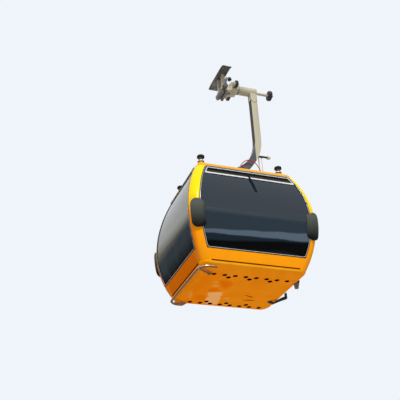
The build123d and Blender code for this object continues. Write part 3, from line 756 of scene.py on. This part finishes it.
# %% [markdown]
# ## Gutters
# The gutter over each side catches the roof's water. It is a folded strip with a black lip above
# and below a bright face, so from the ground it reads as two thin dark lines. The CAD has the
# strip, and two round curves along its edges make the lips.

# %% Gutter lips
GUTTER_LOW, GUTTER_HIGH = WINDOW_TOP + 0.022, WINDOW_TOP + 0.056
LIP_INSET, LIP_PROUD, LIP_RADIUS = 0.004, 0.013, 0.005
lip_xs = steps_between(-FOOT_X + LIP_INSET, FOOT_X - LIP_INSET)
lip_routes = []
for sign in (1, -1):
    for lip_height in (GUTTER_LOW + LIP_INSET, GUTTER_HIGH - LIP_INSET):
        lip_routes.append([on_side(sign, x, lip_height, LIP_PROUD) for x in lip_xs])
lips = line_curve("gutter_lips", lip_routes, LIP_RADIUS)
finish_piece(lips, "hanger", made["black_rubber"])

# %% [markdown]
# ## Vents
# The vent at the top of each end window tilts on a stay in its middle. The stay is a flat black
# arm that crosses the vent's bright frame and ends in a round foot on the fixed pane, with a
# smaller boss at its top. It is built from a row of cross sections, so that it can be flat, have
# sloping edges and be widest halfway.

# %% Vent stays
# across and height of the two ends
STAY_TOP, STAY_FOOT = (-0.030, 1.345), (0.044, 1.003)
STAY_NARROW, STAY_SWELL, STAY_THICK = 0.028, 0.012, 0.007
STAY_GAP, STAY_LIFT, STAY_STEPS = 0.002, 0.006, 8
FOOT_PAD = [(0, 0), (0.022, 0), (0.022, 0.006), (0.014, 0.011), (0, 0.012)]
TOP_BOSS = [(0, 0), (0.016, 0), (0.016, 0.006), (0.008, 0.012), (0, 0.012)]
PAD_SUNK = -0.005


def flat_arm(shape, points, outwards):
    """A flat arm from point to point, its broad face outwards, widest halfway."""
    rings = []
    for i, point in enumerate(points):
        run = (points[min(i + 1, len(points) - 1)] - points[max(i - 1, 0)]).normalized()
        width = STAY_NARROW + STAY_SWELL * sin(pi * i / (len(points) - 1))
        side = run.cross(outwards).normalized() * width / 2
        lift = outwards * STAY_THICK
        section = (-side, side, 0.6 * side + lift, -0.6 * side + lift)
        rings.append([shape.verts.new(point + off) for off in section])
    for low, high in zip(rings, rings[1:]):
        for i in range(4):
            shape.faces.new([low[i], low[(i + 1) % 4], high[(i + 1) % 4], high[i]])
    shape.faces.new(rings[0])
    shape.faces.new(rings[-1])


def vent_stays(shape):
    for sign in (1, -1):
        outwards = Vector((sign, 0, 0))
        points = []
        for i in range(STAY_STEPS + 1):
            y = STAY_TOP[0] + (STAY_FOOT[0] - STAY_TOP[0]) * i / STAY_STEPS
            h = STAY_TOP[1] + (STAY_FOOT[1] - STAY_TOP[1]) * i / STAY_STEPS
            proud = STAY_GAP + STAY_LIFT * (1 - (i / STAY_STEPS) ** 4)
            points.append(on_end(sign, sign * y, h, proud))
        flat_arm(shape, points, outwards)
        for profile, (y, h) in ((FOOT_PAD, STAY_FOOT), (TOP_BOSS, STAY_TOP)):
            lathe(shape, profile, on_end(sign, sign * y, h, PAD_SUNK), outwards)


mesh_piece("vent_stays", vent_stays, "hanger", made["stay_black"])

# %% [markdown]
# ## Drains
# Water leaves through round drains at each end of the floor: a row of eight, three more set
# between them a little further in, and one extra at the leading end. Each has a black grommet with
# a rolled lip, and inside it a near-black disc that paints the shade inside the drain. Such a round
# piece is quickest turned from its profile. All of them go into one mesh, so that they are one piece
# on one body.

# %% Drain grommets
DRAINS, DRAIN_PITCH, DRAIN_ROW_X = 8, 0.168, 0.545
STAGGER = (0.070, DRAIN_PITCH / 2)
EXTRA_DRAIN = 0.068
# radius and height above the pan's face
GROMMET = [(0, 0.007), (0.022, 0.005), (0.027, 0.001), (0.030, -0.0015), (0.0355, -0.0014),
           (0.037, -0.0002), (0.0305, -0.0002), (0.0305, 0.009), (0, 0.009)]

row = [DRAIN_PITCH * (i - (DRAINS - 1) / 2) for i in range(DRAINS)]
inner_row = [y + STAGGER[1] for y in row[1:-1:2]]
drains = [(sign * DRAIN_ROW_X, y) for sign in (1, -1) for y in row]
drains.append((DRAIN_ROW_X, row[0] - EXTRA_DRAIN))
drains += [(sign * (DRAIN_ROW_X - STAGGER[0]), y) for sign in (1, -1) for y in inner_row]


def grommets(shape):
    for x, y in drains:
        lathe(shape, GROMMET, (x, y, SILL + PAN_BOTTOM))


# near-black: the grommets' rubber, and a disc that paints the shade inside each drain
mesh_piece("drain_grommets", grommets, "hanger", made["drain_rubber_and_shade"])
print(len(drains), "drains")

# %% [markdown]
# ## Seats and floor
# The two benches carry four upholstered pads each, and the deck has black anti-slip ribs. They
# show only faintly through the tint, but anyone who looks in finds a cabin that can be used. A
# cloth simulation would give the pads creases that nobody could see from outside. A small grid
# whose middle is lifted has the same swell for far fewer faces.

# %% Seat pads
BENCH_FRONT, BENCH_SEAT, BENCH_TOP = 0.44, 0.37, 0.29
PAD_WIDTH, PAD_GAP, PADS = 0.36, 0.015, 4
PAD_SETBACK, PAD_BACK_ROOM = 0.01, 0.03
PAD_FOOT, PAD_HEIGHT, PAD_CROWN = 0.0005, 0.045, 0.02


def pad(shape, low, high, crown):
    """A cushion: a rounded block whose top swells."""
    count = 8
    grid = []
    for i in range(count + 1):
        line = []
        for j in range(count + 1):
            u, v = i / count, j / count
            edge = min(1.0, 6 * min(u, 1 - u), 6 * min(v, 1 - v))
            lift = crown * (edge * (2 - edge)) ** 0.5
            x, y = low.x + (high.x - low.x) * u, low.y + (high.y - low.y) * v
            line.append(shape.verts.new((x, y, high.z - crown + lift)))
        grid.append(line)
    for i in range(count):
        for j in range(count):
            shape.faces.new([grid[i][j], grid[i + 1][j], grid[i + 1][j + 1], grid[i][j + 1]])
    rim = [grid[i][0] for i in range(count)] + [grid[count][j] for j in range(count)]
    rim += [grid[i][count] for i in range(count, 0, -1)] + [grid[0][j] for j in range(count, 0, -1)]
    foot = [shape.verts.new((v.co.x, v.co.y, low.z)) for v in rim]
    for i in range(len(rim)):
        j = (i + 1) % len(rim)
        shape.faces.new([rim[i], rim[j], foot[j], foot[i]])
    shape.faces.new(foot)


def seat_pads(shape):
    for sign in (1, -1):
        nose, back = BENCH_FRONT + PAD_SETBACK, BENCH_FRONT + BENCH_SEAT - PAD_BACK_ROOM
        x = sorted((sign * nose, sign * back))
        for i in range(PADS):
            y = (i - PADS / 2) * (PAD_WIDTH + PAD_GAP) + PAD_GAP / 2
            low = Vector((x[0], y, SILL + BENCH_TOP + PAD_FOOT))
            high = Vector((x[1], y + PAD_WIDTH, SILL + BENCH_TOP + PAD_HEIGHT))
            pad(shape, low, high, PAD_CROWN)


pads = mesh_piece("seat_pads", seat_pads, "hanger", made["seat_cover"])

# %% Deck ribs
RIB_HALF, RIBS_REACH, RIB_COUNT, RIB_RADIUS = 0.36, 0.70, 15, 0.004
DECK_TOP = SILL + CREASE + 0.024
ribs = []
for y in steps_between(-RIBS_REACH, RIBS_REACH, RIB_COUNT - 1):
    ribs.append([Vector((x, y, DECK_TOP)) for x in (-RIB_HALF, RIB_HALF)])
rib_lines = line_curve("deck_ribs", ribs, RIB_RADIUS)
finish_piece(rib_lines, "hanger", made["black_rubber"])

# %% [markdown]
# ## Fasteners on the cabin
# The carrying frame is bolted down through its rubber mounts, each of which stands in a steel cup
# on the roof. The hanger's foot is bolted to the frame's pedestal. A hexagon is a circle in six
# steps, so the same turned shape makes bolt heads, washers and cups.

# %% Bolts and cups on the roof
FRAME_TOP, FLANGE_TOP = SILL + ROOF + 0.13, -1.687
MOUNT_X, MOUNT_Y, MOUNT_BOLT = 0.33, 0.30, 0.036
FLANGE_X, FLANGE_YS, FLANGE_BOLT = 0.085, (-0.105, -0.01, 0.085), 0.032
CUP = [(0.0455, 0), (0.075, 0), (0.075, 0.005), (0.052, 0.006), (0.050, 0.016), (0.0455, 0.016)]
up = (0, 0, 1)
mounts = [(x, y) for x in (MOUNT_X, -MOUNT_X) for y in (MOUNT_Y, -MOUNT_Y)]
rows = [((x, y, FRAME_TOP), up, MOUNT_BOLT) for x, y in mounts]
rows += [((x, y, FLANGE_TOP), up, FLANGE_BOLT) for x in (FLANGE_X, -FLANGE_X) for y in FLANGE_YS]
bolts("roof_bolts", rows, "hanger", made["galvanised_steel"])


def mount_cups(shape):
    """A steel cup round the foot of each rubber mount."""
    for x, y in mounts:
        lathe(shape, CUP, (x, y, SILL + ROOF))


mesh_piece("mount_cups", mount_cups, "hanger", made["dark_grey_paint"])

# %% [markdown]
# ## Fasteners and springs on the grip
# The photograph doesn't show the grip, so it gets what such grips have: coiled torsion springs
# round both ends of the jaw pin, a bolt in the hub of each running wheel, four bolts on the
# friction plate, and a nut on the jaw lever's roller. A Screw modifier could wind the springs. A
# curve along a helix is as short to write, and its wire stays round without a profile of its own.

# %% Torsion springs
SPRING_RADIUS, WIRE, TURNS, TURN_STEPS = 0.0405, 0.0045, 6, 20
SPRING_START, SPRING_LONG, JAW_PIN_Z = 0.142, 0.056, 0.095
spring_routes = []
for sign in (1, -1):
    count = TURNS * TURN_STEPS
    route = []
    for i in range(count + 1):
        angle = 2 * pi * TURNS * i / count
        x = sign * (SPRING_START + SPRING_LONG * i / count)
        y, z = SPRING_RADIUS * cos(angle), JAW_PIN_Z + SPRING_RADIUS * sin(angle)
        route.append((x, y, z))
    spring_routes.append(route)
springs = line_curve("torsion_springs", spring_routes, WIRE)
finish_piece(springs, "grip", made["forged_steel"])

# %% Bolts on the grip
HUB_FACE_Y, PLATE_TOP, PLATE_X, PLATE_YS = 0.236, 0.412, 0.085, (-0.045, 0.015)
JAW_ROLLER_NUT = (0, 0.198, 0.4)
HUB_BOLT, PLATE_BOLT, JAW_NUT = 0.030, 0.018, 0.030
along_y = (0, 1, 0)
rows = [((x, HUB_FACE_Y, WHEEL_Z), along_y, HUB_BOLT) for x in (WHEEL_X, -WHEEL_X)]
rows += [((x, y, PLATE_TOP), up, PLATE_BOLT) for x in (-PLATE_X, PLATE_X) for y in PLATE_YS]
bolts("grip_bolts", rows, "grip", made["steel_pin"])
nut = [(JAW_ROLLER_NUT, along_y, JAW_NUT)]
bolts("jaw_roller_nut", nut, "jaw_lever", made["steel_pin"])

# %% [markdown]
# ## Hanger and roller
# A collar rings the rod where it leaves the hanger's head, and a larger one rings the head's
# sleeve. The seam of the head's tongue is sealed with a dark bead in the shape of a U, which shows
# on the arm's light face. The guide roller turns on the rod behind a nut. The door lever's two
# rods leave the roof through rubber cones, and each carries a lock nut. All but the seam are round
# about their rod, so they are turned shapes again.

# %% Collars
ROD_Z, ROD_NUT_Y, ROD_NUT = 0.18, 0.978, 0.040
# radius and height of each collar's profile, by its place along the rod
COLLARS = {
    0.650: [(0.0245, 0), (0.036, 0), (0.036, 0.010), (0.030, 0.014), (0.0245, 0.014)],
    0.300: [(0.081, 0), (0.086, 0.002), (0.086, 0.012), (0.081, 0.014)],
}


def collars(shape):
    for y, profile in COLLARS.items():
        lathe(shape, profile, (0, y, ROD_Z), along_y)


mesh_piece("head_collars", collars, "hanger", made["dark_grey_paint"])

# %% Tongue seam and roller nut
SEAM_X, SEAM_Y, SEAM_Z = 0.057, 0.590, -0.018
SEAM_HALF, SEAM_DEEP, SEAM_STEPS, SEAM_RADIUS = 0.049, 0.040, 12, 0.004
seam_routes = []
for sign in (1, -1):
    route = []
    for i in range(SEAM_STEPS + 1):
        angle = pi * i / SEAM_STEPS
        y, z = SEAM_Y + SEAM_HALF * cos(angle), SEAM_Z - SEAM_DEEP * sin(angle)
        route.append((sign * SEAM_X, y, z))
    seam_routes.append(route)
seams = line_curve("tongue_seam", seam_routes, SEAM_RADIUS)
finish_piece(seams, "hanger", made["black_rubber"])
nut = [((0, ROD_NUT_Y, ROD_Z), along_y, ROD_NUT)]
bolts("rod_nut", nut, "hanger", made["steel_pin"])

# %% Trim of the door lever
ROD_X, ROD_YS, LOCK_NUT_Z = -0.075, (0.627, 0.682), -1.150
CONE = [(0.0095, 0), (0.026, 0), (0.024, 0.006), (0.014, 0.030), (0.0095, 0.032)]
LOCK_NUT = [(0.0095, 0), (0.016, 0), (0.016, 0.012), (0.0095, 0.012)]


def door_lever_trim(shape):
    """Rubber cones where the rods leave the roof, and a lock nut on each rod."""
    for y in ROD_YS:
        lathe(shape, CONE, (ROD_X, y, SILL + ROOF))
        lathe(shape, LOCK_NUT, (ROD_X, y, LOCK_NUT_Z), up, 6)


mesh_piece("door_lever_trim", door_lever_trim, "hanger", made["black_rubber"])

# %% [markdown]
# ## The red cable
# A red cable springs out of the roof beside the hanger's foot, bows up and over, and goes back
# into the roof by the door lever. It is stiff, so it makes one clean arch. The control points of
# the route pull one smooth spline along, the way a cable finds its own line.

# %% Red cable
CABLE_RADIUS = 0.008
# x, y and height above the sill
CABLE_ROUTE = (
    (0.100, 0.130, 1.572),
    (0.100, 0.130, 1.740),
    (0.102, 0.160, 1.895),
    (0.104, 0.225, 2.030),
    (0.104, 0.325, 2.104),
    (0.103, 0.435, 2.094),
    (0.101, 0.520, 2.005),
    (0.100, 0.566, 1.875),
    (0.100, 0.593, 1.730),
    (0.100, 0.593, 1.572),
)
route = [Vector((x, y, SILL + h)) for x, y, h in CABLE_ROUTE]
cable = line_curve("red_cable_run", [route], CABLE_RADIUS, "NURBS")
finish_piece(cable, "hanger", made["red_sheath"])
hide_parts("red_cable")

# %% [markdown]
# ## Light and floor
# A soft sun from the front, a little to the left and halfway up, makes the bright edge on the
# corner post and only grazes the left side. An area lamp close by would light the grip and the
# cabin, four metres apart, unequally, and a sun doesn't. The floor lies far below, just under the
# camera, and throws light back up at the underside, as pale ground does. What the camera sees
# behind the object, directly or through the glass, is a plain pale backdrop that lights nothing. A
# reflection shows the same pale tone high up and a dark tone below it, as glass in the open does.

# %% Floor
CAMERA_HEIGHT, GROUND_HALF = 0.05, 40
FLOOR = EYE.z - CAMERA_HEIGHT
PALE_GROUND = (0.67, 0.66, 0.65)
floor_data = bpy.data.meshes.new("ground")
corners = [(x * GROUND_HALF, y * GROUND_HALF, FLOOR) for x, y in ((-1, -1), (1, -1), (1, 1), (-1, 1))]
floor_data.from_pydata(corners, [], [(0, 1, 2, 3)])
ground = bpy.data.objects.new("ground", floor_data)
bpy.context.scene.collection.objects.link(ground)
floor_data.materials.append(Finish("pale_floor", Base_Color=PALE_GROUND, Roughness=0.9).material)
print("floor at", round(FLOOR, 3), "m")

# %% Backdrop and even light
AMBIENT, PALE, DARK = (0.50, 0.52, 0.55), (0.86, 0.91, 0.96), (0.06, 0.065, 0.07)
# rise of a reflected direction between which dark turns into pale
HORIZON = (0.39, 0.47)
world = bpy.data.worlds.new("surroundings")
bpy.context.scene.world = world
world.use_nodes = True
around = Tree(world.node_tree)


def ray(kind):
    return around.node("ShaderNodeLightPath", {}, {}, kind)


seen = ray("Is Camera Ray").highest(ray("Is Transmission Ray"))
direction = around.node("ShaderNodeTexCoord", {}, {}, "Generated")
rise = around.node("ShaderNodeSeparateXYZ", {}, {0: direction}, "Z")
mirrored = around.mix(rise.clamp(*HORIZON), DARK, PALE)
lit = around.mix(ray("Is Glossy Ray"), AMBIENT, mirrored)
around.feed(around.nodes["Background"].inputs["Color"], around.mix(seen, lit, PALE))
print("backdrop", PALE)


# %% Sun
def lamp(name, place, aim, strength, spread):
    """A sun at a place, its light spread over some degrees."""
    data = bpy.data.lights.new(name, "SUN")
    data.energy = strength
    data.angle = radians(spread)
    holder = bpy.data.objects.new(name, data)
    holder.location = place
    holder.rotation_mode = "QUATERNION"
    holder.rotation_quaternion = (Vector(aim) - Vector(place)).to_track_quat("-Z", "Y")
    bpy.context.scene.collection.objects.link(holder)


SUN_PLACE, SUN_AIM, SUN_STRENGTH, SUN_SPREAD = (7.1, -2.2, 4.7), (0, 0, -2), 2.65, 14
lamp("sun", SUN_PLACE, SUN_AIM, SUN_STRENGTH, SUN_SPREAD)
bpy.context.scene.view_settings.view_transform = "Standard"
print("sun", SUN_STRENGTH)
